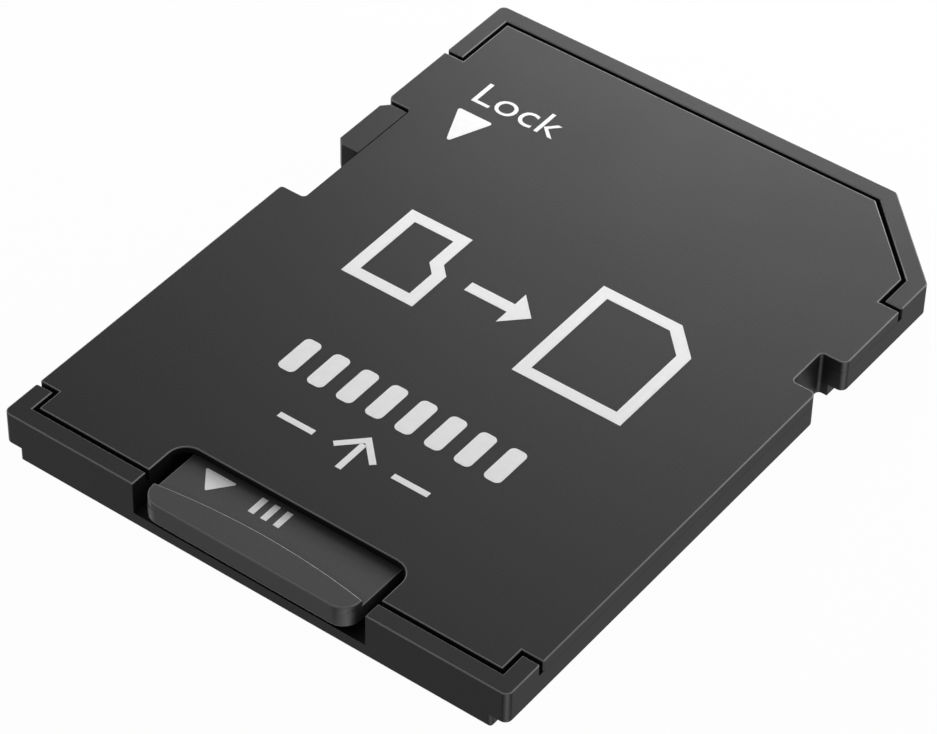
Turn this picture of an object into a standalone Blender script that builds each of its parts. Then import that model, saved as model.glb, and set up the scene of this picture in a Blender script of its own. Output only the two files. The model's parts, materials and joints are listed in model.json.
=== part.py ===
"""Memory card adapter with a small memory card in its slot.

A moulded base and an inlaid cover hold a carrier with eight formed leads. Each lead has a flat
pad in a window of the underside at the far end, and a sprung beam under the small card. A slider
in the left edge marks the adapter as locked. X is the width, Y runs from the card's mouth to the
pads, and Z is up from the underside. The origin is in the middle of the underside.
"""

import math

import bpy
import bmesh
from mathutils import Matrix, Vector

MM = 0.001

# The case
CASE_WIDTH = 24.0 * MM
CASE_LENGTH = 32.0 * MM
CORNER_CUT = 4.0 * MM
CORNER_RADIUS = 0.3 * MM
EDGE_ROUND = 0.045 * MM
LOWER_CORNER_RADIUS = 0.2 * MM
RAIL_THICKNESS = 1.5 * MM
RAIL_WIDTH = 0.7 * MM
FLOOR = 0.55 * MM
BEAM_ROOM = 0.49 * MM
WALL = 0.7 * MM

# The rims that stand up round the cover, and their arms along the long sides
RIM_WIDTH = 0.78 * MM
FAR_LEFT_ARM = 3.9 * MM
FAR_RIGHT_ARM = 5.9 * MM
NEAR_ARM = 1.95 * MM
ARM_CHAMFER = 0.06 * MM
RIM_CHAMFER = 0.04 * MM

# The cover
COVER_THICKNESS = 0.55 * MM
COVER_SKIN = 0.3 * MM
PEG_RADIUS = 0.45 * MM
PEG_LENGTH = 0.4 * MM
MOUTH_DEPTH = 2.95 * MM
MOUTH_RADIUS = 0.8 * MM

# Notches in the long sides, set back from the far face
LOCK_NOTCH_SETBACK = 8.05 * MM
LOCK_NOTCH_LENGTH = 7.05 * MM
LOCK_NOTCH_DEPTH = 1.2 * MM
SIDE_NOTCH_SETBACK = 9.95 * MM
SIDE_NOTCH_LENGTH = 2.05 * MM
SIDE_NOTCH_DEPTH = 1.13 * MM
NOTCH_RADIUS = 0.18 * MM
NOTCH_LIP_RADIUS = 0.3 * MM

# The lock slider and the tongue that guides it
SLIDER_LENGTH = 3.32 * MM
SLIDER_CHAMFER = 0.33 * MM
SLIDER_END_GAP = 0.2 * MM
SLIDER_BOTTOM_ROUND = 0.05 * MM
TONGUE_REACH = 0.62 * MM
TONGUE_THICKNESS = 0.5 * MM
TONGUE_DROP = 0.12 * MM
TONGUE_SETBACK = 0.25 * MM

# The small card
CARD_WIDTH = 11.0 * MM
CARD_LENGTH = 15.0 * MM
CARD_THICKNESS = 0.7 * MM
CARD_PROUD = 0.32 * MM
CARD_CORNER_RADIUS = 0.8 * MM
CARD_SMALL_RADIUS = 0.2 * MM
CARD_EDGE_ROUND = 0.05 * MM
GRIP_STEP = 0.52 * MM
RIB_HEIGHT = 0.3 * MM
RIB_SIDE_LENGTH = 0.9 * MM
RIB_BULGE = 0.4 * MM
RIB_STEP = 0.02 * MM
NOSE_STEP = 1.3 * MM
NOSE_LENGTH = 3.7 * MM
CARD_NOTCH_START = 6.4 * MM
CARD_NOTCH_LENGTH = 1.2 * MM
CARD_NOTCH_DEPTH = 0.8 * MM

# The plated contacts under the small card
CARD_CONTACTS = 8
CONTACT_MARGIN = 0.6 * MM
CONTACT_GAP = 0.3 * MM
CONTACT_LENGTH = 2.9 * MM
CONTACT_START = 1.1 * MM
CONTACT_THICKNESS = 0.06 * MM

# The host pads. Their margins run from the case's sides to the middles of the outermost pads
PAD_LEFT_MARGIN = 2.3 * MM
PAD_RIGHT_MARGIN = 2.65 * MM
PAD_RECESS = 0.7 * MM
PAD_LENGTH = 3.6 * MM
PAD_SETBACK = 1.4 * MM
PAD_CORNER_GAP = 0.35 * MM
PAD_WIDTH = 1.5 * MM
LAST_PAD_PITCH = 1.7 * MM
LAST_PAD_WIDTH = 1.2 * MM
WINDOW_MARGIN = 0.1 * MM

# The leads, formed from strip, and the host pad that each one runs to
LEAD_PADS = (9, 1, 2, 4, 5, 6, 7, 8)
GROUND_PAD = 6
SECOND_GROUND_PAD = 3
STRIP_THICKNESS = 0.15 * MM
STRIP_WIDTH = 0.5 * MM
PAD_SHOULDER = 0.25 * MM
BEND_LEAD = 0.5 * MM
FAN_SETBACK = 0.8 * MM
BEAM_LENGTH = 3.4 * MM
BEAM_HEEL = 0.3 * MM
BUMP_SETBACK = 0.7 * MM
BUMP_LENGTH = 0.3 * MM
BUMP_DROP = 0.025 * MM
TIP_DROP = 0.1 * MM
BRIDGE_WIDTH = 0.28 * MM
BRIDGE_RISE = 0.22 * MM
BRIDGE_RAMP = 0.3 * MM

# The carrier that holds the leads
CARRIER_REAR_BAR = 2.1 * MM
CARRIER_SIDE = 0.7 * MM

# The leaf spring beside the slot
LEAF_THICKNESS = 0.15 * MM
LEAF_REACH = 1.0 * MM
LEAF_ROOT = 1.2 * MM
LEAF_SPAN = 3.2 * MM
LEAF_TAIL = 1.1 * MM
LEAF_TAIL_LIFT = 0.4 * MM
LEAF_END_GAP = 0.25 * MM

# Ledges and ribs that carry the small card
LEDGE_WIDTH = 0.5 * MM
CARD_RIBS = 4
CARD_RIB_WIDTH = 0.5 * MM

# Clearances
GROOVE = 0.2 * MM
SEAT_GAP = 0.012 * MM
SLIDE_GAP = 0.04 * MM
CARD_SIDE_PLAY = 0.05 * MM
CARD_PLAY = 0.03 * MM
CARD_STOP_GAP = 0.05 * MM
TOUCH_GAP = 0.02 * MM

# How finely arcs are drawn, how far a fillet's cutter stands off the faces that it joins, and how
# far a cutter runs past what it cuts
ARC_STEPS = 6
ROUND_STEPS = 3
PEG_SIDES = 20
RIB_ARC_STEPS = 12
SMOOTH_ANGLE = math.radians(28)
STAND_OFF = 0.002 * MM
FREE = 1.0 * MM

# Places that follow from the sizes
half_width = CASE_WIDTH / 2
near_face = -CASE_LENGTH / 2
far_face = CASE_LENGTH / 2
cut_sum = half_width + far_face - CORNER_CUT
body_half = half_width - RAIL_WIDTH
ledge_z = FLOOR + BEAM_ROOM
card_z = ledge_z + CARD_PLAY
card_top_z = card_z + CARD_THICKNESS
ceiling_z = card_top_z + CARD_PLAY
case_height = ceiling_z + COVER_SKIN
seam_z = case_height - COVER_THICKNESS
rail_z = case_height - RAIL_THICKNESS
pocket_half = CARD_WIDTH / 2 + CARD_SIDE_PLAY
card_near = near_face - CARD_PROUD
card_far = card_near + CARD_LENGTH
stop_y = card_far + CARD_STOP_GAP
mouth_y = near_face + MOUTH_DEPTH
lock_y1 = far_face - LOCK_NOTCH_SETBACK
lock_y0 = lock_y1 - LOCK_NOTCH_LENGTH
lock_x = -half_width + LOCK_NOTCH_DEPTH
side_y1 = far_face - SIDE_NOTCH_SETBACK
side_y0 = side_y1 - SIDE_NOTCH_LENGTH
side_x = half_width - SIDE_NOTCH_DEPTH
slider_y1 = lock_y1 - SLIDER_END_GAP
slider_y0 = slider_y1 - SLIDER_LENGTH
tongue_z1 = seam_z - TONGUE_DROP
tongue_z0 = tongue_z1 - TONGUE_THICKNESS
tongue_x = lock_x + TONGUE_REACH
peg_inset = PEG_RADIUS + WALL / 2
room_far = far_face - RIM_WIDTH - WALL / 2
room_sum = cut_sum - (RIM_WIDTH + WALL / 4) * math.sqrt(2)
room_left = -tongue_x - WALL
room_right = side_x - WALL
lead_z = PAD_RECESS + STRIP_THICKNESS / 2
channel_z = PAD_RECESS + STRIP_THICKNESS + TOUCH_GAP
bump_z = card_z - TOUCH_GAP - STRIP_THICKNESS / 2
bridge_z = lead_z + BRIDGE_RISE
bridge_y = room_far + TOUCH_GAP
contacts_span = CARD_WIDTH - NOSE_STEP - 2 * CONTACT_MARGIN
contact_width = (contacts_span + CONTACT_GAP) / CARD_CONTACTS - CONTACT_GAP
contact_pitch = contact_width + CONTACT_GAP
leaf_wall_x = pocket_half + LEAF_REACH
leaf_nose_y = card_far - CARD_NOTCH_START - CARD_NOTCH_LENGTH / 2
leaf_y0 = leaf_nose_y - LEAF_SPAN - LEAF_ROOT


def clear_scene():
    for obj in list(bpy.data.objects):
        bpy.data.objects.remove(obj, do_unlink=True)


def material(name, colour, roughness, metallic=0.0):
    made = bpy.data.materials.new(name)
    made.use_nodes = True
    shader = made.node_tree.nodes["Principled BSDF"]
    shader.inputs["Base Color"].default_value = (*colour, 1.0)
    shader.inputs["Roughness"].default_value = roughness
    shader.inputs["Metallic"].default_value = metallic
    return made


def left_of(direction):
    return Vector((-direction.y, direction.x))


def turn_between(before, after):
    """The angle between two directions in plan, positive for a left turn."""
    return math.atan2(before.x * after.y - before.y * after.x, before.dot(after))


def sides_at(corners, index):
    """The directions of an outline's sides before and after one of its corners."""
    here = Vector(corners[index][:2])
    before = here - Vector(corners[index - 1][:2])
    after = Vector(corners[(index + 1) % len(corners)][:2]) - here
    return before.normalized(), after.normalized()


def inset_corners(corners, inset):
    """Moves each side of an anticlockwise outline inwards, with its corner radii to suit."""
    moved = []
    for i, (x, y, radius) in enumerate(corners):
        before, after = sides_at(corners, i)
        middle = (left_of(before) + left_of(after)).normalized()
        place = Vector((x, y)) + middle * (inset / middle.dot(left_of(after)))
        if radius:
            radius -= math.copysign(1.0, turn_between(before, after)) * inset
        moved.append((place.x, place.y, radius))
    return moved


def outline(corners, inset=0.0):
    """The points of an anticlockwise outline whose corners are (x, y, radius)."""
    corners = inset_corners(corners, inset)
    points = []
    for i, (x, y, radius) in enumerate(corners):
        here = Vector((x, y))
        if not radius:
            points.append(here)
            continue
        before, after = sides_at(corners, i)
        turn = turn_between(before, after)
        start = here - before * radius * math.tan(abs(turn) / 2)
        centre = start + left_of(before) * math.copysign(radius, turn)
        for k in range(ARC_STEPS + 1):
            points.append(centre + Matrix.Rotation(turn * k / ARC_STEPS, 2) @ (start - centre))
    return points


def mesh_object(name, points, faces, finish=None):
    mesh = bpy.data.meshes.new(name)
    mesh.from_pydata([tuple(p) for p in points], [], faces)
    work = bmesh.new()
    work.from_mesh(mesh)
    bmesh.ops.recalc_face_normals(work, faces=work.faces)
    work.to_mesh(mesh)
    work.free()
    made = bpy.data.objects.new(name, mesh)
    bpy.context.scene.collection.objects.link(made)
    if finish:
        mesh.materials.append(finish)
        mesh.shade_smooth()
        mesh.set_sharp_from_angle(angle=SMOOTH_ANGLE)
    return made


def prism_faces(count, rings, first=0):
    """The faces of a closed body through rings of equal point count."""
    faces = [tuple(first + i for i in reversed(range(count)))]
    for ring in range(rings - 1):
        low = first + ring * count
        for i in range(count):
            j = (i + 1) % count
            faces.append((low + i, low + j, low + count + j, low + count + i))
    top = first + (rings - 1) * count
    faces.append(tuple(range(top, top + count)))
    return faces


def loft(name, rings, finish=None):
    points = [p for ring in rings for p in ring]
    return mesh_object(name, points, prism_faces(len(rings[0]), len(rings)), finish)


def edge_levels(radius, z, up):
    """The (inset, z) levels of a rounded edge, lowest first. Up is 1 for a top edge, -1 for a bottom one."""
    levels = []
    for k in range(ROUND_STEPS + 1):
        angle = math.pi / 2 * k / ROUND_STEPS
        levels.append((radius * (1 - math.cos(angle)), z + up * radius * (math.sin(angle) - 1)))
    return levels if up > 0 else levels[::-1]


def slab(name, corners, low, high, finish=None, top_round=0.0, bottom_round=0.0):
    """An outline raised from low to high, with rounded edges where a radius is given."""
    levels = edge_levels(bottom_round, low, -1) if bottom_round else [(0.0, low)]
    levels += edge_levels(top_round, high, 1) if top_round else [(0.0, high)]
    rings = [[(p.x, p.y, z) for p in outline(corners, inset)] for inset, z in levels]
    return loft(name, rings, finish)


def rectangle(x0, x1, y0, y1, radius=0.0):
    return [(x0, y0, radius), (x1, y0, radius), (x1, y1, radius), (x0, y1, radius)]


def boxes(name, spans, finish=None):
    """One object with a box for each (x0, x1, y0, y1, z0, z1)."""
    points, faces = [], []
    for x0, x1, y0, y1, z0, z1 in spans:
        faces += prism_faces(4, 2, len(points))
        points += [(x, y, z) for z in (z0, z1) for x, y, _ in rectangle(x0, x1, y0, y1)]
    return mesh_object(name, points, faces, finish)


def cylinders(name, centres, radius, low, high):
    points, faces = [], []
    for x, y in centres:
        faces += prism_faces(PEG_SIDES, 2, len(points))
        for z in (low, high):
            for k in range(PEG_SIDES):
                angle = 2 * math.pi * k / PEG_SIDES
                points.append((x + radius * math.cos(angle), y + radius * math.sin(angle), z))
    return mesh_object(name, points, faces)


def fillet_cutters(name, corners, radius, low, high):
    """Prisms that round upright edges. A corner is (x, y, x sign, y sign), with signs into the body."""
    points, faces = [], []
    for x, y, side, along in corners:
        section = [(-radius, -radius), (radius - STAND_OFF, -radius)]
        for k in range(ARC_STEPS + 1):
            angle = math.pi / 2 * k / ARC_STEPS
            section.append((
                radius * (1 - math.sin(angle)) - STAND_OFF,
                radius * (1 - math.cos(angle)) - STAND_OFF,
            ))
        section.append((-radius, radius - STAND_OFF))
        faces += prism_faces(len(section), 2, len(points))
        points += [(x + side * u, y + along * v, z) for z in (low, high) for u, v in section]
    return mesh_object(name, points, faces)


def mitres(places):
    """For each point of a path: the direction across the joint, and the direction that leaves it."""
    steps = [(b - a).normalized() for a, b in zip(places, places[1:])]
    befores = steps[:1] + steps
    afters = steps + steps[-1:]
    return [((before + after).normalized(), after) for before, after in zip(befores, afters)]


def ribbon(name, stations, thickness, finish=None):
    """A formed strip whose stations are (x, y, z, width) along its middle."""
    places = [Vector(station[:3]) for station in stations]
    rings = []
    for place, station, (joint, after) in zip(places, stations, mitres(places)):
        across = Vector((-joint.y, joint.x, 0)).normalized()
        across_after = Vector((-after.y, after.x, 0)).normalized()
        up = joint.cross(across)
        up_after = after.cross(across_after)
        across = across * station[3] / 2 / across.dot(across_after)
        up = up * thickness / 2 / up.dot(up_after)
        rings.append([place - across - up, place + across - up, place + across + up, place - across + up])
    return loft(name, rings, finish)


def band(path, thickness):
    """The outline round a path in plan, drawn with a pen of this thickness."""
    places = [Vector(p) for p in path]
    left, right = [], []
    for place, (joint, after) in zip(places, mitres(places)):
        normal = left_of(joint)
        normal = normal * thickness / 2 / normal.dot(left_of(after))
        left.append((*(place + normal), 0.0))
        right.append((*(place - normal), 0.0))
    return right + left[::-1]


def combine(target, tool, operation):
    """Adds a Boolean to the target, and hides its tool from renders."""
    tool.hide_render = True
    tool.display_type = "WIRE"
    modifier = target.modifiers.new(tool.name, "BOOLEAN")
    modifier.operation = operation
    modifier.solver = "EXACT"
    modifier.object = tool


def cut(target, tool):
    combine(target, tool, "DIFFERENCE")


def join(target, tool):
    combine(target, tool, "UNION")


def set_origin(obj, origin, parent=None):
    """Moves an object's own origin and leaves its shape in place."""
    place = Vector(origin)
    obj.data.transform(Matrix.Translation(-place))
    obj.parent = parent
    obj.location = place - parent.location if parent else place


def side_notch_corners():
    return [
        (half_width, side_y0, NOTCH_LIP_RADIUS),
        (side_x, side_y0, NOTCH_RADIUS),
        (side_x, side_y1, NOTCH_RADIUS),
        (half_width, side_y1, NOTCH_LIP_RADIUS),
    ]


def lock_notch_corners():
    return [
        (-half_width, lock_y1, NOTCH_LIP_RADIUS),
        (lock_x, lock_y1, NOTCH_RADIUS),
        (lock_x, lock_y0, NOTCH_RADIUS),
        (-half_width, lock_y0, NOTCH_RADIUS),
    ]


def case_corners():
    """The case from above, with the cut corner and the notches in its long sides."""
    return [
        (-half_width, near_face, CORNER_RADIUS),
        (half_width, near_face, CORNER_RADIUS),
        *side_notch_corners(),
        (half_width, far_face - CORNER_CUT, CORNER_RADIUS),
        (half_width - CORNER_CUT, far_face, CORNER_RADIUS),
        (-half_width, far_face, CORNER_RADIUS),
        *lock_notch_corners(),
    ]


def rim_lines(gap):
    """The rims' inner lines, moved inwards by a gap: x, near y, far y, cut sum and arm ends."""
    return (
        half_width - RIM_WIDTH - gap,
        near_face + RIM_WIDTH + gap,
        far_face - RIM_WIDTH - gap,
        cut_sum - (RIM_WIDTH + gap) * math.sqrt(2),
        near_face + NEAR_ARM + gap,
        far_face - FAR_LEFT_ARM - gap,
        far_face - FAR_RIGHT_ARM - gap,
    )


def bed_corners():
    """The recess between the rims. It runs out past both sides, with a chamfer on each arm's end."""
    x, near, far, total, near_arm, left_arm, right_arm = rim_lines(0.0)
    start = half_width - ARM_CHAMFER
    outside = half_width + FREE
    flare = outside - start
    return [
        (-x, near, 0.0),
        (x, near, 0.0),
        (x, near_arm, 0.0),
        (start, near_arm, 0.0),
        (outside, near_arm - flare, 0.0),
        (outside, right_arm + flare, 0.0),
        (start, right_arm, 0.0),
        (x, right_arm, 0.0),
        (x, total - x, 0.0),
        (total - far, far, 0.0),
        (-x, far, 0.0),
        (-x, left_arm, 0.0),
        (-start, left_arm, 0.0),
        (-outside, left_arm + flare, 0.0),
        (-outside, near_arm - flare, 0.0),
        (-start, near_arm, 0.0),
        (-x, near_arm, 0.0),
    ]


def cover_corners():
    """The cover from above, with the thumb opening and the notches."""
    x, near, far, total, near_arm, left_arm, right_arm = rim_lines(GROOVE)
    return [
        (-x, near, 0.0),
        (-pocket_half, near, 0.0),
        (-pocket_half, mouth_y, MOUTH_RADIUS),
        (pocket_half, mouth_y, MOUTH_RADIUS),
        (pocket_half, near, 0.0),
        (x, near, 0.0),
        (x, near_arm, 0.0),
        (half_width, near_arm, ARM_CHAMFER),
        *side_notch_corners(),
        (half_width, right_arm, ARM_CHAMFER),
        (x, right_arm, 0.0),
        (x, total - x, 0.0),
        (total - far, far, 0.0),
        (-x, far, 0.0),
        (-x, left_arm, 0.0),
        (-half_width, left_arm, ARM_CHAMFER),
        *lock_notch_corners(),
        (-half_width, near_arm, ARM_CHAMFER),
        (-x, near_arm, 0.0),
    ]


def room_corners(gap):
    """The lead carrier's room beside both notches, or the carrier itself where a gap is given."""
    side = half_width - RIM_WIDTH - WALL - gap
    left = room_left - gap
    right = room_right - gap
    near = stop_y + gap
    far = room_far - gap
    total = room_sum - gap * math.sqrt(2)
    left_shoulder = lock_y1 + WALL + gap
    right_shoulder = side_y1 + WALL + gap
    return [
        (-left, near, 0.0),
        (right, near, 0.0),
        (right, right_shoulder, 0.0),
        (side, right_shoulder, 0.0),
        (side, total - side, 0.0),
        (total - far, far, 0.0),
        (-side, far, 0.0),
        (-side, left_shoulder, 0.0),
        (-left, left_shoulder, 0.0),
    ]


def pad_table():
    """The host pads from the left side, by number: middle x, width and far end."""
    last_x = -half_width + PAD_LEFT_MARGIN
    first_x = half_width - PAD_RIGHT_MARGIN
    far_end = far_face - PAD_SETBACK
    corner_end = room_sum - PAD_CORNER_GAP - first_x - PAD_WIDTH / 2
    pads = {8: (last_x, LAST_PAD_WIDTH, far_end), 7: (last_x + LAST_PAD_PITCH, LAST_PAD_WIDTH, far_end)}
    others = (6, 5, 4, 3, 2, 1, 9)
    pitch = (first_x - last_x - LAST_PAD_PITCH) / len(others)
    for k, number in enumerate(others, start=1):
        x = last_x + LAST_PAD_PITCH + k * pitch
        pads[number] = (x, PAD_WIDTH, corner_end if number == 9 else far_end)
    return pads


def contact_x(index):
    """The middle of one of the small card's contacts, counted from its notched side."""
    return ((CARD_CONTACTS - 1) / 2 - index) * contact_pitch - NOSE_STEP / 2


def card_corners():
    """The small card from above: grip, full width with a side notch, and a narrower nose."""
    half = CARD_WIDTH / 2
    grip = half - GRIP_STEP
    nose = half - NOSE_STEP
    notch_x = half - CARD_NOTCH_DEPTH
    notch_far = card_far - CARD_NOTCH_START
    notch_near = notch_far - CARD_NOTCH_LENGTH
    nose_y = card_far - NOSE_LENGTH
    grip_y = mouth_y + CARD_EDGE_ROUND
    big, small = CARD_CORNER_RADIUS, CARD_SMALL_RADIUS
    return [
        (-grip, card_near, big),
        (grip, card_near, big),
        (grip, grip_y, small),
        (half, grip_y + GRIP_STEP, small),
        (half, notch_near - CARD_NOTCH_DEPTH, small),
        (notch_x, notch_near, small),
        (notch_x, notch_far, small),
        (half, notch_far, small),
        (half, nose_y - NOSE_STEP, small),
        (nose, nose_y, small),
        (nose, card_far, small),
        (-half, card_far, big),
        (-half, grip_y + GRIP_STEP, small),
        (-grip, grip_y, small),
    ]


def rib_corners():
    """The grip rib from above, with a long arc for its inner side."""
    half = CARD_WIDTH / 2 - GRIP_STEP - RIB_STEP
    arc_radius = (half**2 + RIB_BULGE**2) / (2 * RIB_BULGE)
    top_y = card_near + RIB_SIDE_LENGTH + RIB_BULGE
    corners = [(-half, card_near, CARD_CORNER_RADIUS), (half, card_near, CARD_CORNER_RADIUS)]
    for k in range(RIB_ARC_STEPS + 1):
        x = half - 2 * half * k / RIB_ARC_STEPS
        sag = arc_radius - math.sqrt(arc_radius**2 - x**2)
        corners.append((x, top_y - sag, 0.0))
    return corners


def cut_rails(base):
    """Cuts the underside back along both long sides, which leaves the guide rails."""
    edge = [(body_half - inset, z) for inset, z in edge_levels(EDGE_ROUND, 0.0, -1)]
    profile = [(edge[0][0], -FREE), *edge, (body_half, rail_z)]
    profile += [(half_width + FREE, rail_z), (half_width + FREE, -FREE)]
    for name, side in (("right_rail_cutter", 1), ("left_rail_cutter", -1)):
        ends = (near_face - FREE, far_face + FREE)
        cut(base, loft(name, [[(side * x, y, z) for x, z in profile] for y in ends]))
    corners = [(-body_half, near_face, 1, 1), (body_half, near_face, -1, 1), (-body_half, far_face, 1, -1)]
    cut(base, fillet_cutters("lower_corner_cutter", corners, LOWER_CORNER_RADIUS, -FREE, rail_z))


def flared_cutter(name, corners, low):
    """A cutter from a low level up past the case's top, where it leaves a small chamfer."""
    levels = [(0.0, low), (0.0, case_height - RIM_CHAMFER), (-RIM_CHAMFER, case_height)]
    levels.append((-RIM_CHAMFER, case_height + FREE))
    return loft(name, [[(p.x, p.y, z) for p in outline(corners, inset)] for inset, z in levels])


def cut_slot(base):
    """Cuts the small card's slot, its open mouth, the bays between its ribs and the beams' room."""
    reach = near_face - FREE
    over = ledge_z + TOUCH_GAP
    mouth_floor = mouth_y - CARD_RIB_WIDTH
    beam_near = stop_y - BEAM_LENGTH - CARD_RIB_WIDTH
    beam_left = contact_x(CARD_CONTACTS - 1) - contact_pitch / 2
    beam_right = contact_x(0) + contact_pitch / 2
    inner = pocket_half - LEDGE_WIDTH
    bay = (2 * inner - CARD_RIBS * CARD_RIB_WIDTH) / (CARD_RIBS + 1)
    low_spans = [(-pocket_half, pocket_half, reach, mouth_floor, FLOOR, over)]
    low_spans.append((beam_left, beam_right, beam_near, stop_y + WALL / 2, FLOOR, over))
    for k in range(CARD_RIBS + 1):
        x = -inner + k * (bay + CARD_RIB_WIDTH)
        low_spans.append((x, x + bay, mouth_y, beam_near - CARD_RIB_WIDTH, FLOOR, over))
    slot = rectangle(-pocket_half, pocket_half, reach, stop_y + WALL / 2)
    cut(base, flared_cutter("slot_cutter", slot, ledge_z))
    cut(base, boxes("mouth_and_bay_cutter", low_spans))


def cut_leaf_chamber(base):
    """Cuts the chamber beside the slot that holds the leaf spring."""
    near = leaf_y0 - LEAF_END_GAP
    far = leaf_nose_y + LEAF_TAIL + LEAF_END_GAP
    chamber = (pocket_half - TOUCH_GAP, leaf_wall_x, near, far, FLOOR, seam_z + FREE)
    cut(base, boxes("leaf_chamber_cutter", [chamber]))


def cut_carrier_room(base):
    """Cuts the room for the lead carrier, and a step at its far end for the ground lead's bridge."""
    cut(base, slab("carrier_room_cutter", room_corners(0.0), FLOOR, seam_z + FREE))
    pads = pad_table()
    left = pads[GROUND_PAD][0] - PAD_WIDTH / 2
    right = pads[SECOND_GROUND_PAD][0] + PAD_WIDTH / 2
    step_z = bridge_z - STRIP_THICKNESS / 2 - TOUCH_GAP
    far = bridge_y + BRIDGE_WIDTH + TOUCH_GAP
    cut(base, boxes("bridge_room_cutter", [(left, right, room_far - WALL / 2, far, step_z, seam_z + FREE)]))


def cut_windows(base):
    """Cuts a window under each host pad, open to the far face, with ribs left between them."""
    windows = []
    for x, width, far_end in pad_table().values():
        half = width / 2 + WINDOW_MARGIN
        windows.append((x - half, x + half, far_end - PAD_LENGTH, far_face + FREE, -FREE, PAD_RECESS))
    cut(base, boxes("window_cutter", windows))


def cut_tongue_groove(base):
    """Cuts the groove behind the lock notch that guides the slider's tongue."""
    y0 = lock_y0 + NOTCH_RADIUS
    y1 = lock_y1 - NOTCH_RADIUS
    groove = (lock_x - NOTCH_RADIUS, tongue_x + SLIDE_GAP, y0, y1, tongue_z0 - SLIDE_GAP, seam_z + FREE)
    cut(base, boxes("tongue_groove_cutter", [groove]))


def cut_hollows(base):
    """Cuts the hollows beside the slot that keep the moulding's walls even."""
    outer = body_half - WALL
    near = near_face + RIM_WIDTH + 2 * peg_inset
    far = stop_y - 2 * peg_inset
    left = (-outer, -pocket_half - WALL, near, far, FLOOR, seam_z + FREE)
    right = (leaf_wall_x + WALL, outer, near, far, FLOOR, seam_z + FREE)
    cut(base, boxes("hollow_cutter", [left, right]))


def peg_centres():
    near_x = body_half - peg_inset
    near_y = near_face + RIM_WIDTH + peg_inset
    far_x = room_left - peg_inset
    far_y = stop_y - peg_inset
    return [(-near_x, near_y), (near_x, near_y), (-far_x, far_y), (far_x, far_y)]


def build_base(finish):
    base = slab("base_shell", case_corners(), 0.0, case_height, finish, EDGE_ROUND, EDGE_ROUND)
    cut_rails(base)
    cut(base, flared_cutter("bed_cutter", bed_corners(), seam_z))
    cut_slot(base)
    cut_leaf_chamber(base)
    cut_carrier_room(base)
    cut_windows(base)
    cut_tongue_groove(base)
    cut_hollows(base)
    hole_z = seam_z - PEG_LENGTH - SLIDE_GAP
    cut(base, cylinders("peg_hole_cutter", peg_centres(), PEG_RADIUS + SLIDE_GAP, hole_z, seam_z + FREE))


def build_cover(finish):
    cover = slab("top_cover", cover_corners(), seam_z + SEAT_GAP, case_height, finish, EDGE_ROUND)
    roof = (-pocket_half, pocket_half, near_face - FREE, stop_y, seam_z - FREE, ceiling_z)
    cut(cover, boxes("card_roof_cutter", [roof]))
    peg_top = seam_z + COVER_THICKNESS / 2
    join(cover, cylinders("cover_pegs", peg_centres(), PEG_RADIUS, seam_z - PEG_LENGTH, peg_top))


def build_slider(finish):
    """The lock slider at its unlocked end, with its origin on its line of travel."""
    inner = lock_x - TOUCH_GAP
    beyond = inner + 2 * EDGE_ROUND
    shoulder = -half_width + SLIDER_CHAMFER
    corners = [
        (shoulder, slider_y0, 0.0),
        (beyond, slider_y0, 0.0),
        (beyond, slider_y1, 0.0),
        (shoulder, slider_y1, 0.0),
        (-half_width, slider_y1 - SLIDER_CHAMFER, 0.0),
        (-half_width, slider_y0 + SLIDER_CHAMFER, 0.0),
    ]
    low = rail_z + SLIDE_GAP
    slider = slab("lock_slider", corners, low, case_height, finish, EDGE_ROUND, SLIDER_BOTTOM_ROUND)
    excess = (inner, inner + FREE, slider_y0 - FREE, slider_y1 + FREE, low - FREE, case_height + FREE)
    cut(slider, boxes("slider_inner_face_cutter", [excess]))
    y0 = slider_y0 + TONGUE_SETBACK
    y1 = slider_y1 - TONGUE_SETBACK
    join(slider, boxes("slider_tongue", [(inner - NOTCH_RADIUS, tongue_x, y0, y1, tongue_z0, tongue_z1)]))
    set_origin(slider, ((inner - half_width) / 2, (slider_y0 + slider_y1) / 2, (low + case_height) / 2))


def build_card(finish, plating):
    """The small card and its contacts, on an empty that lies on its line of travel."""
    axis = bpy.data.objects.new("card_slide_axis", None)
    axis.location = (0.0, (card_near + card_far) / 2, (card_z + card_top_z) / 2)
    bpy.context.scene.collection.objects.link(axis)
    card = slab("card_body", card_corners(), card_z, card_top_z, finish, CARD_EDGE_ROUND, CARD_EDGE_ROUND)
    rib_z = card_top_z - CARD_THICKNESS / 2
    join(card, slab("card_rib", rib_corners(), rib_z, card_top_z + RIB_HEIGHT, None, CARD_EDGE_ROUND))
    half = contact_width / 2
    gap = TOUCH_GAP
    y1 = card_far - CONTACT_START
    y0 = y1 - CONTACT_LENGTH
    top = card_z + CONTACT_THICKNESS
    pockets = []
    for k in range(CARD_CONTACTS):
        x = contact_x(k)
        pockets.append((x - half - gap, x + half + gap, y0 - gap, y1 + gap, card_z - FREE, top + gap))
        contact = boxes(f"card_contact_{k + 1}", [(x - half, x + half, y0, y1, card_z, top)], plating)
        set_origin(contact, (x, (y0 + y1) / 2, card_z), axis)
    cut(card, boxes("contact_pocket_cutter", pockets))
    set_origin(card, axis.location, axis)


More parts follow.
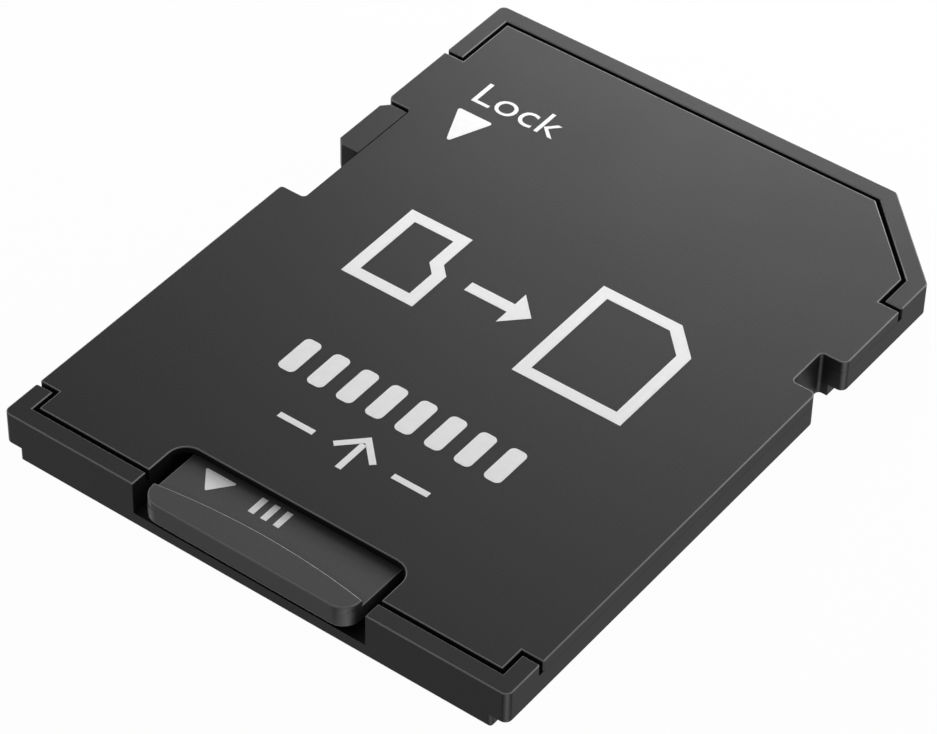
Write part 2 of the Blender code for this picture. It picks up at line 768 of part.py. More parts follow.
def lead_stations(index):
    """A lead's flat part and its beam, each as (x, y, z, width), from the pad to the beam's tip."""
    x, width, far_end = pad_table()[LEAD_PADS[index]]
    near = far_end - PAD_LENGTH
    beam_x = contact_x(index)
    fan_end = stop_y + FAN_SETBACK
    tip = stop_y - BEAM_LENGTH
    bump = tip + BUMP_SETBACK
    flat = [
        (x, far_end, lead_z, width),
        (x, near + PAD_SHOULDER, lead_z, width),
        (x, near, lead_z, STRIP_WIDTH),
        (x, near - BEND_LEAD, lead_z, STRIP_WIDTH),
        (beam_x, fan_end, lead_z, STRIP_WIDTH),
    ]
    beam = [
        (beam_x, stop_y - BEAM_HEEL, lead_z, STRIP_WIDTH),
        (beam_x, bump + BUMP_LENGTH / 2, bump_z - BUMP_DROP, STRIP_WIDTH),
        (beam_x, bump, bump_z, STRIP_WIDTH),
        (beam_x, bump - BUMP_LENGTH / 2, bump_z - BUMP_DROP, STRIP_WIDTH),
        (beam_x, tip, bump_z - TIP_DROP, STRIP_WIDTH),
    ]
    return flat, beam


def bridge_stations(number):
    """The far end of a ground pad, from the bridge down a ramp to the pad's plane."""
    x, width, _ = pad_table()[number]
    ramp_end = room_far - WALL / 4
    return [
        (x, bridge_y + BRIDGE_WIDTH / 2, bridge_z, STRIP_WIDTH),
        (x, ramp_end, bridge_z, STRIP_WIDTH),
        (x, ramp_end - BRIDGE_RAMP, lead_z, STRIP_WIDTH),
        (x, ramp_end - BRIDGE_RAMP - PAD_SHOULDER, lead_z, width),
    ]


def build_leads(plating):
    """The eight leads. The ground lead has two pads, joined by a bridge past the pads between them."""
    for index, number in enumerate(LEAD_PADS):
        flat, beam = lead_stations(index)
        name = f"terminal_{index + 1}"
        if number != GROUND_PAD:
            ribbon(name, flat + beam, STRIP_THICKNESS, plating)
            continue
        lead = ribbon(name, bridge_stations(number) + flat[1:] + beam, STRIP_THICKNESS, plating)
        x, width, far_end = pad_table()[SECOND_GROUND_PAD]
        near_end = (x, far_end - PAD_LENGTH, lead_z, width)
        join(lead, ribbon("second_ground_pad", bridge_stations(SECOND_GROUND_PAD) + [near_end], STRIP_THICKNESS))
        half = STRIP_THICKNESS / 2
        left = flat[0][0] - STRIP_WIDTH / 2
        right = x + STRIP_WIDTH / 2
        span = (left, right, bridge_y, bridge_y + BRIDGE_WIDTH, bridge_z - half, bridge_z + half)
        join(lead, boxes("ground_bridge", [span]))


def channel(name, stations):
    """A cutter round the flat part of a lead, open downwards and at both ends."""
    low = FLOOR - FREE
    x, y, _, width = stations[0]
    path = [(x, y + FREE, 0.0, width), *stations, (stations[-1][0], stop_y - FREE, 0.0, STRIP_WIDTH)]
    middle = (low + channel_z) / 2
    wide = [(x, y, middle, width + 2 * TOUCH_GAP) for x, y, _, width in path]
    return ribbon(name, wide, channel_z - low)


def build_carrier(finish):
    """The frame that holds the leads in channels cut from below."""
    low = FLOOR + SEAT_GAP
    carrier = slab("contact_carrier", room_corners(SEAT_GAP), low, seam_z - SEAT_GAP, finish)
    pads = pad_table()
    near = stop_y + SEAT_GAP + CARRIER_REAR_BAR
    far = pads[9][2] - PAD_LENGTH - BEND_LEAD
    opening = rectangle(CARRIER_SIDE - room_left, room_right - CARRIER_SIDE, near, far, NOTCH_RADIUS)
    cut(carrier, slab("carrier_opening_cutter", opening, low - FREE, seam_z + FREE))
    for index in range(len(LEAD_PADS)):
        cut(carrier, channel(f"channel_cutter_{index + 1}", lead_stations(index)[0]))
    x, width, far_end = pads[SECOND_GROUND_PAD]
    half = width / 2 + TOUCH_GAP
    pocket = (x - half, x + half, far_end - PAD_LENGTH - TOUCH_GAP, far_face, low - FREE, channel_z)
    cut(carrier, boxes("second_pad_cutter", [pocket]))
    half = STRIP_WIDTH / 2 + TOUCH_GAP
    top = bridge_z + STRIP_THICKNESS / 2 + TOUCH_GAP
    ramps = []
    for number in (GROUND_PAD, SECOND_GROUND_PAD):
        x, y = bridge_stations(number)[2][:2]
        ramps.append((x - half, x + half, y - STRIP_THICKNESS, far_face, PAD_RECESS, top))
    cut(carrier, boxes("bridge_ramp_cutter", ramps))


def build_leaf(finish):
    """The leaf spring, pressed back beside the small card and seated on the chamber's floor."""
    root_x = leaf_wall_x - SLIDE_GAP - LEAF_THICKNESS / 2
    nose_x = pocket_half + TOUCH_GAP + LEAF_THICKNESS
    path = [
        (root_x, leaf_y0),
        (root_x, leaf_y0 + LEAF_ROOT),
        (nose_x, leaf_nose_y),
        (nose_x + LEAF_TAIL_LIFT, leaf_nose_y + LEAF_TAIL),
    ]
    slab("retention_spring", band(path, LEAF_THICKNESS), FLOOR + SEAT_GAP, seam_z - SEAT_GAP, finish)


clear_scene()
shell_plastic = material("matte_black_shell", (0.05, 0.05, 0.052), 0.55)
slider_plastic = material("matte_black_slider", (0.035, 0.035, 0.037), 0.5)
card_plastic = material("dark_grey_card", (0.06, 0.06, 0.062), 0.45)
carrier_plastic = material("black_carrier", (0.02, 0.02, 0.02), 0.5)
gold_plating = material("gold_plating", (0.83, 0.62, 0.28), 0.28, 1.0)
spring_steel = material("spring_steel", (0.6, 0.6, 0.58), 0.3, 1.0)
build_base(shell_plastic)
build_cover(shell_plastic)
build_slider(slider_plastic)
build_card(card_plastic, gold_plating)
build_leads(gold_plating)
build_carrier(carrier_plastic)
build_leaf(spring_steel)
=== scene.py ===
# %% [markdown]
# # Dressing a memory card adapter for its picture
#
# The adapter is a flat case of dark moulded plastic, as wide as a thumb, with a smaller card in a
# slot at its near end. The imported model already has every moulding, clearance and joint, so this
# script never moves or resizes a part. It gives each surface its real finish, adds the white
# printing, and sets up a small photo studio. The frame is loaded first, and its box is kept, so
# that it can be printed beside the dressed model's box at the end.

# %% Load the frame
import json
import math

import bmesh
import bpy
from mathutils import Matrix, Vector


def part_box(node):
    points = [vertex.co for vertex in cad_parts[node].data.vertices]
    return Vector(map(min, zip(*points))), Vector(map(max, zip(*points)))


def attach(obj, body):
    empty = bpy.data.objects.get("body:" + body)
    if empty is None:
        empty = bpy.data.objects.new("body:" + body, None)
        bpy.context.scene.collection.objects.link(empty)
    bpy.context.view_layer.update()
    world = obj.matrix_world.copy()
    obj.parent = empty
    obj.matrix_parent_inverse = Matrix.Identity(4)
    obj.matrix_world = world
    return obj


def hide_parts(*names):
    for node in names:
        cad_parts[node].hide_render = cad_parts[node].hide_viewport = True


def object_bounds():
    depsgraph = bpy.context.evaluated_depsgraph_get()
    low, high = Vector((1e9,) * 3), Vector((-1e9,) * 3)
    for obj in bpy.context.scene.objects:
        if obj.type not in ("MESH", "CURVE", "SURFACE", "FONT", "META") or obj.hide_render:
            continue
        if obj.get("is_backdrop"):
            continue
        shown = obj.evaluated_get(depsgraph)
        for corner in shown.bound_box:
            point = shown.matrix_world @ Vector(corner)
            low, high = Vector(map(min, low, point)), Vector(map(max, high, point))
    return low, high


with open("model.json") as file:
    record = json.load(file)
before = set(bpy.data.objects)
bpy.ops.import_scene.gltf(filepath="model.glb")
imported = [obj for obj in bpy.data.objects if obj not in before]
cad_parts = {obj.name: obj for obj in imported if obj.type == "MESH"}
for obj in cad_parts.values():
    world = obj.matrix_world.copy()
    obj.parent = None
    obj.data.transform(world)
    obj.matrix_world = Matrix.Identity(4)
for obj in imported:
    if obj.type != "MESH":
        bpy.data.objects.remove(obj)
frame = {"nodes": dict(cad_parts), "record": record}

cad_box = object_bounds()
MM = 0.001

# %% [markdown]
# ## Working from the frame's own sizes
#
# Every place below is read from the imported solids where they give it, so the print lands on the
# cover and the mouldings stay where they were made. Only the artwork has sizes of its own.

# %% Measure the mouldings
case_low, case_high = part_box("base_shell")
card_low, card_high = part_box("card_body")
slider_low, slider_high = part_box("lock_slider")
# Two details have no box of their own: the small card's grip rib and the notch of the slider.
RIB_HEIGHT = 0.3 * MM
LOCK_NOTCH_DEPTH = 1.2 * MM
cover_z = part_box("top_cover")[1].z
card_top = card_high.z - RIB_HEIGHT
slider_seam = case_low.x + LOCK_NOTCH_DEPTH
case_size = case_high - case_low
print("case in mm:", [round(side / MM, 2) for side in case_size])

# %% [markdown]
# ## One helper for materials
#
# A material in Blender is a graph of nodes. This lesson builds each graph in code with a single
# helper: it adds a node, sets its properties, and fills or links its sockets. Colours are written
# as the hex values that a picture editor shows. Those are sRGB, and Blender's sockets want linear
# light, so one function turns them over.

# %% A colour function and a node function
def linear(hex_colour):
    """An sRGB hex colour as linear RGBA."""
    channels = [int(hex_colour[i:i + 2], 16) / 255 for i in (1, 3, 5)]
    return (*[c / 12.92 if c <= 0.04045 else ((c + 0.055) / 1.055) ** 2.4 for c in channels], 1.0)


def add_node(tree, kind, settings=None, inputs=None):
    """Adds a node, sets its properties, and gives each input a value or a link."""
    node = tree.nodes.new(kind)
    for name, value in (settings or {}).items():
        setattr(node, name, value)
    for name, value in (inputs or {}).items():
        if isinstance(value, bpy.types.NodeSocket):
            tree.links.new(value, node.inputs[name])
        else:
            node.inputs[name].default_value = value
    return node


def new_material(name):
    """An empty material with a Principled shader joined to its output."""
    made = bpy.data.materials.new(name)
    made.use_nodes = True
    tree = made.node_tree
    tree.nodes.clear()
    shader = add_node(tree, "ShaderNodeBsdfPrincipled")
    add_node(tree, "ShaderNodeOutputMaterial", inputs={"Surface": shader.outputs["BSDF"]})
    return made, tree, shader


print("mid grey #808080 in linear light:", round(linear("#808080")[0], 3))

# %% [markdown]
# Every visible piece needs an object at the origin, a place in the scene and a body to ride on.
# Its material comes with its mesh.

# %% A function for pieces
def add_piece(name, mesh, body):
    """An object for a mesh, riding on a body."""
    piece = bpy.data.objects.new(name, mesh)
    bpy.context.scene.collection.objects.link(piece)
    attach(piece, body)
    return piece


def mesh_from(work, name, finish):
    """Turns a bmesh into a mesh with one material."""
    mesh = bpy.data.meshes.new(name)
    work.to_mesh(mesh)
    work.free()
    mesh.materials.append(finish)
    return mesh


# %% [markdown]
# ## Moulded plastic
#
# The case is ABS, moulded in a steel tool whose faces were spark eroded. That leaves a grain of
# fine pits about 0.05 mm across, which scatters the light and gives a soft, wide sheen. Two noise
# patterns make it: the pits themselves as a bump, and a slow drift of roughness over a few
# millimetres, as plastic flows and cools unevenly. The real pits are finer than a pixel here, so
# they are drawn at twice their size. Their bump stays shallow, because a matte case has no sparkle.
# A pitted face also throws back less light in any one direction than a polished one, so its
# specular level is low. The same function makes the smoother plastic of the small card and of the
# hidden carrier.
#
# Two more things are painted into moulded plastic. Its rounded edges would catch thin lines of
# light that are finer than a pixel here, so they get a painted highlight: an attribute, set further
# down, marks them, and there the colour is paler and the surface a little smoother. And the grooves
# and gaps between mouldings swallow light, so an Ambient Occlusion node paints shade into them. It
# asks how much of the sky over a point isn't shut off by something near. A wall in a narrow groove
# keeps under a third and goes black. A wall of the open mouth keeps over half, so it is only
# dimmed.
# The table would count as something near too, so the lowest band of the sides keeps its own
# colour, and so do the edges with the painted highlight.

# %% Moulded plastics
GROOVE_REACH = 0.6 * MM
# Painted shade: with less open sky than the first share a colour is gone. With more than the second
# it is whole.
SHUT, OPEN = 0.3, 0.95
EDGE_POLISH = 0.27
TABLE_BAND = (0.55 * MM, 0.75 * MM)
CLOUD_SIZE = 4 * MM
NOISE_LOW, NOISE_HIGH = 0.3, 0.7
DARKER, LIGHTER = 0.9, 1.1
STEEP = 0.5


def moulded_plastic(name, colour, highlight_colour, roughness, gloss, grain_mm, pit_depth_mm,
                    drift=0.02, shut=SHUT):
    """Moulded plastic: spark-eroded grain, painted edge highlights, painted shade in grooves."""
    made, tree, shader = new_material(name)
    surface = add_node(tree, "ShaderNodeTexCoord").outputs
    places = surface["Object"]
    grain = add_node(tree, "ShaderNodeTexNoise", inputs={
        "Vector": places, "Scale": 1 / (grain_mm * MM), "Detail": 2.0, "Roughness": 0.6})
    cloud = add_node(tree, "ShaderNodeTexNoise", inputs={
        "Vector": places, "Scale": 1 / CLOUD_SIZE, "Detail": 3.0})
    spread = add_node(tree, "ShaderNodeMapRange", inputs={
        "Value": cloud.outputs["Fac"], "From Min": NOISE_LOW, "From Max": NOISE_HIGH,
        "To Min": roughness - drift, "To Max": roughness + drift})
    bump = add_node(tree, "ShaderNodeBump", inputs={
        "Height": grain.outputs["Fac"], "Distance": pit_depth_mm * MM, "Strength": 1.0})
    tint = add_node(tree, "ShaderNodeMapRange", inputs={
        "Value": grain.outputs["Fac"], "From Min": NOISE_LOW, "From Max": NOISE_HIGH,
        "To Min": DARKER, "To Max": LIGHTER})
    shade = add_node(tree, "ShaderNodeVectorMath", {"operation": "SCALE"}, {
        0: linear(colour)[:3], "Scale": tint.outputs["Result"]})
    # Painted highlight: a mesh attribute mixes a brighter colour into the rounded edges and makes
    # them smoother.
    edge_highlight = add_node(tree, "ShaderNodeAttribute", {"attribute_name": "edge_highlight"}).outputs["Fac"]
    paler = add_node(tree, "ShaderNodeMix", {"data_type": "RGBA"}, {
        0: edge_highlight, 6: shade.outputs["Vector"], 7: linear(highlight_colour)}).outputs[2]
    shinier = add_node(tree, "ShaderNodeMath", {"operation": "MULTIPLY_ADD"}, {
        0: edge_highlight, 1: -EDGE_POLISH, 2: spread.outputs["Result"]})

    # How open a place is, for the painted shade: 0 in a groove, 1 on a face, near the table and on
    # a top edge that carries the painted highlight.
    sky = add_node(tree, "ShaderNodeAmbientOcclusion", {"samples": 8}, {"Distance": GROOVE_REACH})
    open_sky = add_node(tree, "ShaderNodeMapRange", {"clamp": True}, {
        "Value": sky.outputs["AO"], "From Min": shut, "From Max": OPEN,
        "To Min": 0.0, "To Max": 1.0})
    height = add_node(tree, "ShaderNodeSeparateXYZ", inputs={"Vector": places}).outputs["Z"]
    near_table = add_node(tree, "ShaderNodeMapRange", {"clamp": True}, {
        "Value": height, "From Min": TABLE_BAND[0], "From Max": TABLE_BAND[1],
        "To Min": 1.0, "To Max": 0.0})
    tilt = add_node(tree, "ShaderNodeSeparateXYZ", inputs={
        "Vector": surface["Normal"]}).outputs["Z"]
    steepness = add_node(tree, "ShaderNodeMath", {"operation": "ABSOLUTE"}, {0: tilt})
    top_edge = add_node(tree, "ShaderNodeMapRange", {"clamp": True}, {
        "Value": steepness.outputs[0], "From Min": 0.0, "From Max": STEEP,
        "To Min": 0.0, "To Max": edge_highlight})
    kept = add_node(tree, "ShaderNodeMath", {"operation": "MAXIMUM"}, {
        0: near_table.outputs["Result"], 1: top_edge.outputs["Result"]})
    openness = add_node(tree, "ShaderNodeMath", {"operation": "MAXIMUM"}, {
        0: kept.outputs[0], 1: open_sky.outputs["Result"]}).outputs[0]

    # Painted shade: a groove loses its colour and its shine together.
    seen = add_node(tree, "ShaderNodeVectorMath", {"operation": "SCALE"}, {
        0: paler, "Scale": openness})
    dulled = add_node(tree, "ShaderNodeMix", {"data_type": "FLOAT"}, {
        0: openness, 2: 1.0, 3: shinier.outputs[0]}).outputs[0]
    tree.links.new(seen.outputs["Vector"], shader.inputs["Base Color"])
    tree.links.new(dulled, shader.inputs["Roughness"])
    tree.links.new(bump.outputs["Normal"], shader.inputs["Normal"])
    shader.inputs["IOR"].default_value = 1.45
    shader.inputs["Specular IOR Level"].default_value = gloss
    return made


# The case: a near-black that turns to a soft grey sheen, with a painted highlight on every edge.
case_abs = moulded_plastic(
    "moulded_abs_matte_black", "#1d1d1e", "#949495", 0.45, 0.13, grain_mm=0.1, pit_depth_mm=0.004)
# The slider: the same black, with a dimmer painted highlight on its edges, so that it lies
# quietly in its notch.
slider_abs = moulded_plastic(
    "moulded_abs_slider", "#1e1e1f", "#5a5a5b", 0.45, 0.13, grain_mm=0.1, pit_depth_mm=0.004)
# The small card: lighter, smoother and finer than the case, so the two read as different makes. Its
# painted edge highlight is brighter too. It lies in the open mouth, so only a narrower gap turns
# its painted shade black.
card_resin = moulded_plastic(
    "moulded_epoxy_dark_grey", "#444445", "#a8a8a9", 0.4, 0.18, grain_mm=0.06, pit_depth_mm=0.0015,
    drift=0.015, shut=0.2)
# The lead carrier: plain black, with a faint painted highlight on its edges, seen only through
# the windows of the pads.
carrier_nylon = moulded_plastic(
    "moulded_nylon_black", "#1c1c1d", "#2c2c2d", 0.5, 0.2, grain_mm=0.08, pit_depth_mm=0.003)
print("plastics:", case_abs.name, slider_abs.name, card_resin.name, carrier_nylon.name)

# %% [markdown]
# ## Plated contacts and spring steel
#
# The pads are copper alloy with a flash of gold over nickel. Hosts wipe them each time the card
# goes in, so fine scratches run along the case, from its mouth to its pads. A noise pattern that is
# squeezed across and stretched along gives those lines. The leaf spring is rolled strip, with the
# same kind of line from the rollers, so one function makes both metals.

# %% Metals
LINE_DEPTH = 0.002 * MM
SMOOTHER, ROUGHER = 0.07, 0.12


def wiped_metal(name, colour, roughness, line_mm, run_mm):
    """A metal with fine lines along the case, from wiping or rolling."""
    made, tree, shader = new_material(name)
    places = add_node(tree, "ShaderNodeTexCoord").outputs["Object"]
    across, along = 1 / (line_mm * MM), 1 / (run_mm * MM)
    stretch = add_node(tree, "ShaderNodeMapping", inputs={
        "Vector": places, "Scale": (across, along, across)})
    lines = add_node(tree, "ShaderNodeTexNoise", inputs={
        "Vector": stretch.outputs["Vector"], "Scale": 1.0, "Detail": 2.0})
    spread = add_node(tree, "ShaderNodeMapRange", inputs={
        "Value": lines.outputs["Fac"], "From Min": NOISE_LOW, "From Max": NOISE_HIGH,
        "To Min": roughness - SMOOTHER, "To Max": roughness + ROUGHER})
    bump = add_node(tree, "ShaderNodeBump", inputs={
        "Height": lines.outputs["Fac"], "Distance": LINE_DEPTH, "Strength": 1.0})
    tree.links.new(spread.outputs["Result"], shader.inputs["Roughness"])
    tree.links.new(bump.outputs["Normal"], shader.inputs["Normal"])
    shader.inputs["Base Color"].default_value = linear(colour)
    shader.inputs["Metallic"].default_value = 1.0
    return made


# The pads and contacts: a warm bright gold that the wiping lines break up.
gold_plate = wiped_metal("gold_plated_copper_alloy", "#e3bd6a", 0.26, line_mm=0.05, run_mm=2.0)
# The leaf spring: a cool plain grey with long lines.
spring_steel = wiped_metal("rolled_spring_steel", "#c4c3be", 0.3, line_mm=0.04, run_mm=3.0)
print("metals:", gold_plate.name, spring_steel.name)

# %% [markdown]
# ## Dressing the mouldings
#
# The frame's solids are loose triangles, so their rounded edges would look faceted. Each plastic
# moulding is therefore copied, its doubled points are merged, and triangles in one plane become one
# face. Then every corner of every face gets its own normal. A corner of a flat face looks where its
# face looks, so flats stay flat. A corner of a rounded face looks where the flat next to it looks,
# or else halfway between its neighbours, so the round carries the whole turn.
#
# The same pass says how much painted highlight each corner gets. The rounds along top and bottom
# edges get it all, or half of it on the small card, and an upright corner gets most at its middle,
# as a painted band of light. The wide inner corners of the thumb opening get none. The seam along
# the lock slider gets none either, and its two edges look straight up, because a seam this tight
# hardly shows. The left half of the small card's near end gets no painted highlight either.
#
# The small card and its grip rib are moulded in one. In the solids the card's rounded top edge runs
# on under the ends of the rib, so there both the turn of that edge and its painted highlight are
# left out, and the corner reads as one wall from top to bottom.

# %% Smooth copies of the mouldings
SMOOTH_UP_TO = math.radians(35)
SAME_PLANE = math.radians(0.3)
MERGE_WITHIN = 0.0005 * MM
# A face is upright where its normal's Z is under the first share, and level over the second.
UPRIGHT, LEVEL = 0.02, 0.999
# Both of these are turns in plan, in degrees.
TURN_WITHIN = 0.5
CORNER_HIGHLIGHT_SPREAD = 28.0
NARROW_ROUND = 0.1 * MM
RIB_ENDS = 0.87 * MM
CARD_ROUND = 0.07 * MM
# The share of painted highlight on the small card's rounded edges.
CARD_EDGE_HIGHLIGHT = 0.55
SEAM_BAND = 0.08 * MM
SLIDER_ROOM = (4 * MM, 1 * MM)


def under_rib(place):
    """Whether a place on the small card is where its top edge runs on under the rib's ends."""
    return (place.y < card_low.y + RIB_ENDS
            and card_top - CARD_ROUND < place.z < card_top + SEAM_BAND)


def along_slider(place):
    """Whether a place is on the seam beside the lock slider, or where the slider can move to."""
    before, after = SLIDER_ROOM
    return (abs(place.x - slider_seam) < SEAM_BAND
            and slider_low.y - before < place.y < slider_high.y + after)


def left_corner(place):
    """Whether a place is on the left half of the small card's near end: no painted highlight there.
    """
    return place.x < 0 and place.y < card_low.y + RIB_ENDS and place.z < card_top + SEAM_BAND


def nowhere(place):
    """For a moulding that has no such place."""
    return False


def plan_turn(normal):
    """The direction of a normal in plan, in degrees from the nearest axis before it."""
    return math.degrees(math.atan2(normal.y, normal.x)) % 90


def is_upright(face):
    """Whether a face stands upright, flat or not."""
    return abs(face.normal.z) < UPRIGHT


def is_flat(face):
    """Whether a face looks up, down, along an axis or along the cut corner."""
    if not is_upright(face):
        return abs(face.normal.z) > LEVEL
    turn = plan_turn(face.normal) % 45
    return min(turn, 45 - turn) < TURN_WITHIN


def is_hollow(face):
    """Whether an upright rounded face belongs to a wide inner corner."""
    sides = [edge for edge in face.edges
             if len(edge.link_faces) == 2 and all(map(is_upright, edge.link_faces))]
    bends = sum(edge.calc_face_angle_signed() for edge in sides)
    across = max((edge.verts[0].co - edge.verts[1].co).xy.length for edge in face.edges)
    return bends < 0 and across > NARROW_ROUND


def corner_normal(corner, grown_over, without_highlight):
    """Where the surface looks at one corner of a face."""
    own = corner.face.normal
    if is_flat(corner.face):
        return own
    if without_highlight(corner.vert.co) and not is_upright(corner.face) and own.z > 0:
        return Vector((0, 0, 1))
    near = [face for face in corner.vert.link_faces if face.normal.angle(own) < SMOOTH_UP_TO]
    flats = [face for face in near if is_flat(face)]
    looks = sum((face.normal for face in flats or near), Vector())
    if grown_over(corner.vert.co):
        looks.z = 0.0
    return looks.normalized()


def corner_edge_highlight(corner, normal, grown_over, without_highlight, edge_highlight_share):
    """How much painted highlight a face gets at one corner, from 0 to 1."""
    place = corner.vert.co
    if is_flat(corner.face) or without_highlight(place):
        return 0.0
    if not is_upright(corner.face) and not grown_over(place):
        return edge_highlight_share
    if is_hollow(corner.face):
        return 0.0
    return max(0.0, 1 - abs(plan_turn(normal) - 45) / CORNER_HIGHLIGHT_SPREAD)


def dressed_copy(node, body, finish, grown_over=nowhere, without_highlight=nowhere, edge_highlight_share=1.0):
    """A smooth-shaded copy of a CAD node, which stands for it on the same body."""
    mesh = frame["nodes"][node].data.copy()
    work = bmesh.new()
    work.from_mesh(mesh)
    bmesh.ops.remove_doubles(work, verts=work.verts, dist=MERGE_WITHIN)
    bmesh.ops.dissolve_limit(work, angle_limit=SAME_PLANE, verts=work.verts, edges=work.edges)
    # Each corner's share of the painted edge highlight is kept in this layer.
    highlight_layer = work.loops.layers.float.new("edge_highlight")
    normals = []
    for face in work.faces:
        face.smooth = True
        for corner in face.loops:
            normals.append(corner_normal(corner, grown_over, without_highlight))
            corner[highlight_layer] = corner_edge_highlight(corner, normals[-1], grown_over, without_highlight, edge_highlight_share)
    work.to_mesh(mesh)
    work.free()
    mesh.normals_split_custom_set(normals)
    mesh.materials.clear()
    mesh.materials.append(finish)
    piece = add_piece(f"{node}_dressed", mesh, body)
    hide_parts(node)
    return piece


mouldings = [
    dressed_copy("base_shell", "case", case_abs, without_highlight=along_slider),
    dressed_copy("top_cover", "case", case_abs, without_highlight=along_slider),
    dressed_copy("lock_slider", "slider", slider_abs, without_highlight=along_slider),
    dressed_copy("card_body", "small_card", card_resin,
                 grown_over=under_rib, without_highlight=left_corner, edge_highlight_share=CARD_EDGE_HIGHLIGHT),
    dressed_copy("contact_carrier", "case", carrier_nylon),
]
print("mouldings:", [piece.name for piece in mouldings])

# %% [markdown]
# ## A lip under the far seam
#
# The ground lead crosses from pad to pad in a channel under the far seam, and from straight above
# its gold would show through. A thin lip in the seam closes the channel. It is a profile with one
# broken edge, run along the seam, and its ends and its back go a little way into the shell.

# %% Seam lip
LIP_ENDS = (-6.3 * MM, 2.7 * MM)
# The profile's corners along Y and Z, in millimetres. The short side is the broken edge.
LIP_PROFILE = [(15.03, 1.4), (15.25, 1.4), (15.25, 1.545), (15.06, 1.545), (15.03, 1.515)]


def run_along_x(name, profile, ends, body, finish):
    """A closed bar with the same profile, in millimetres along Y and Z, from end to end."""
    work = bmesh.new()
    rings = [[work.verts.new((x, y * MM, z * MM)) for y, z in profile] for x in ends]
    for ring in rings:
        work.faces.new(ring)
    for k in range(len(profile)):
        work.faces.new([rings[0][k - 1], rings[0][k], rings[1][k], rings[1][k - 1]])
    bmesh.ops.recalc_face_normals(work, faces=work.faces)
    return add_piece(name, mesh_from(work, name, finish), body)


seam_lip = run_along_x("seam_lip", LIP_PROFILE, LIP_ENDS, "case", case_abs)
print("seam lip:", len(seam_lip.data.polygons), "faces")

# %% [markdown]
# The metal parts keep their own meshes, and only their material slots change.

# %% Finish the metal parts
finishes = {"plating": gold_plate, "spring": spring_steel}
for row in frame["record"]["subparts"]:
    if row["material_slot"] in finishes:
        mesh = frame["nodes"][row["node"]].data
        mesh.materials.clear()
        mesh.materials.append(finishes[row["material_slot"]])
print("metal slots:", sorted(finishes))

# %% [markdown]
# ## White printing
#
# The marks are pad printed in one pass of white ink, about a hundredth of a millimetre thick. They
# could be painted in the cover's material, but an outline drawn as a mesh stays crisp at any
# distance, so each mark is a thin plate that lies on the plastic. The pad lifts off with a little
# of the ink, so a fine noise pattern makes the white slightly uneven.

# %% Ink
INK_THICKNESS = 0.01 * MM
MOTTLE_SIZE = 0.25 * MM
THINNEST_INK = 0.97


def printed_ink(name, colour):
    """White ink with a faint mottle."""
    made, tree, shader = new_material(name)
    places = add_node(tree, "ShaderNodeTexCoord").outputs["Object"]
    mottle = add_node(tree, "ShaderNodeTexNoise", inputs={
        "Vector": places, "Scale": 1 / MOTTLE_SIZE, "Detail": 4.0})
    tint = add_node(tree, "ShaderNodeMapRange", inputs={
        "Value": mottle.outputs["Fac"], "From Min": 0.35, "From Max": 0.65,
        "To Min": THINNEST_INK, "To Max": 1.0})
    shade = add_node(tree, "ShaderNodeVectorMath", {"operation": "SCALE"}, {
        0: linear(colour)[:3], "Scale": tint.outputs["Result"]})
    tree.links.new(shade.outputs["Vector"], shader.inputs["Base Color"])
    shader.inputs["Roughness"].default_value = 0.6
    shader.inputs["IOR"].default_value = 1.48
    return made


# The printing: a clean flat white that a matte surface keeps from glaring.
white_ink = printed_ink("pad_printed_white_ink", "#fbfbfb")
print("ink:", white_ink.name)

# %% [markdown]
# A mark is drawn as an outline in plan and raised by the ink's thickness. Lines of the drawing are
# closed outlines too: a stroke is a path whose two sides lie half a pen's width away.

# %% Outlines and plates
def print_flat(name, work, body):
    """Raises the flat faces of a bmesh by the ink's thickness, as one closed mesh on a body."""
    flats = list(work.faces)
    rim = [(corner.vert, corner.link_loop_next.vert)
           for face in flats for corner in face.loops if len(corner.edge.link_faces) == 1]
    lift = Vector((0, 0, INK_THICKNESS))
    above = {vert: work.verts.new(vert.co + lift) for vert in list(work.verts)}
    for face in flats:
        work.faces.new([above[vert] for vert in face.verts])
    for one, other in rim:
        work.faces.new([one, other, above[other], above[one]])
    bmesh.ops.recalc_face_normals(work, faces=work.faces)
    return add_piece(name, mesh_from(work, name, white_ink), body)


def plate(name, outlines, z, body):
    """Thin plates from closed outlines in plan, as one mesh on a surface at height z."""
    work = bmesh.new()
    for outline in outlines:
        work.faces.new([work.verts.new((x, y, z)) for x, y in outline])
    # Outlines that meet share their corners, so that no wall is left between them.
    bmesh.ops.remove_doubles(work, verts=work.verts, dist=MERGE_WITHIN)
    return print_flat(name, work, body)


def rounded(corners, radius, steps=6):
    """The outline of a shape in plan, with its corners rounded off."""
    places = [Vector(p) for p in corners]
    outline = []
    for before, corner, after in zip(places[-1:] + places, places, places[1:] + places[:1]):
        into, out = (corner - before).normalized(), (after - corner).normalized()
        turn = -into.angle_signed(out)
        start = corner - into * radius * math.tan(abs(turn) / 2)
        centre = start + Vector((-into.y, into.x)) * math.copysign(radius, turn)
        outline += [centre + Matrix.Rotation(turn * k / steps, 2) @ (start - centre)
                    for k in range(steps + 1)]
    return outline


def stroke(path, pen):
    """The outline round an open path, with square ends and mitred corners."""
    places = [Vector(p) for p in path]
    steps = [(b - a).normalized() for a, b in zip(places, places[1:])]
    left, right = [], []
    for place, before, after in zip(places, steps[:1] + steps, steps + steps[-1:]):
        normal = Vector((-(before + after).y, (before + after).x)).normalized()
        reach = pen / 2 / normal.dot(Vector((-after.y, after.x)))
        left.append(tuple(place + normal * reach))
        right.append(tuple(place - normal * reach))
    return right + left[::-1]


print("the ink is", round(INK_THICKNESS / MM, 3), "mm thick")

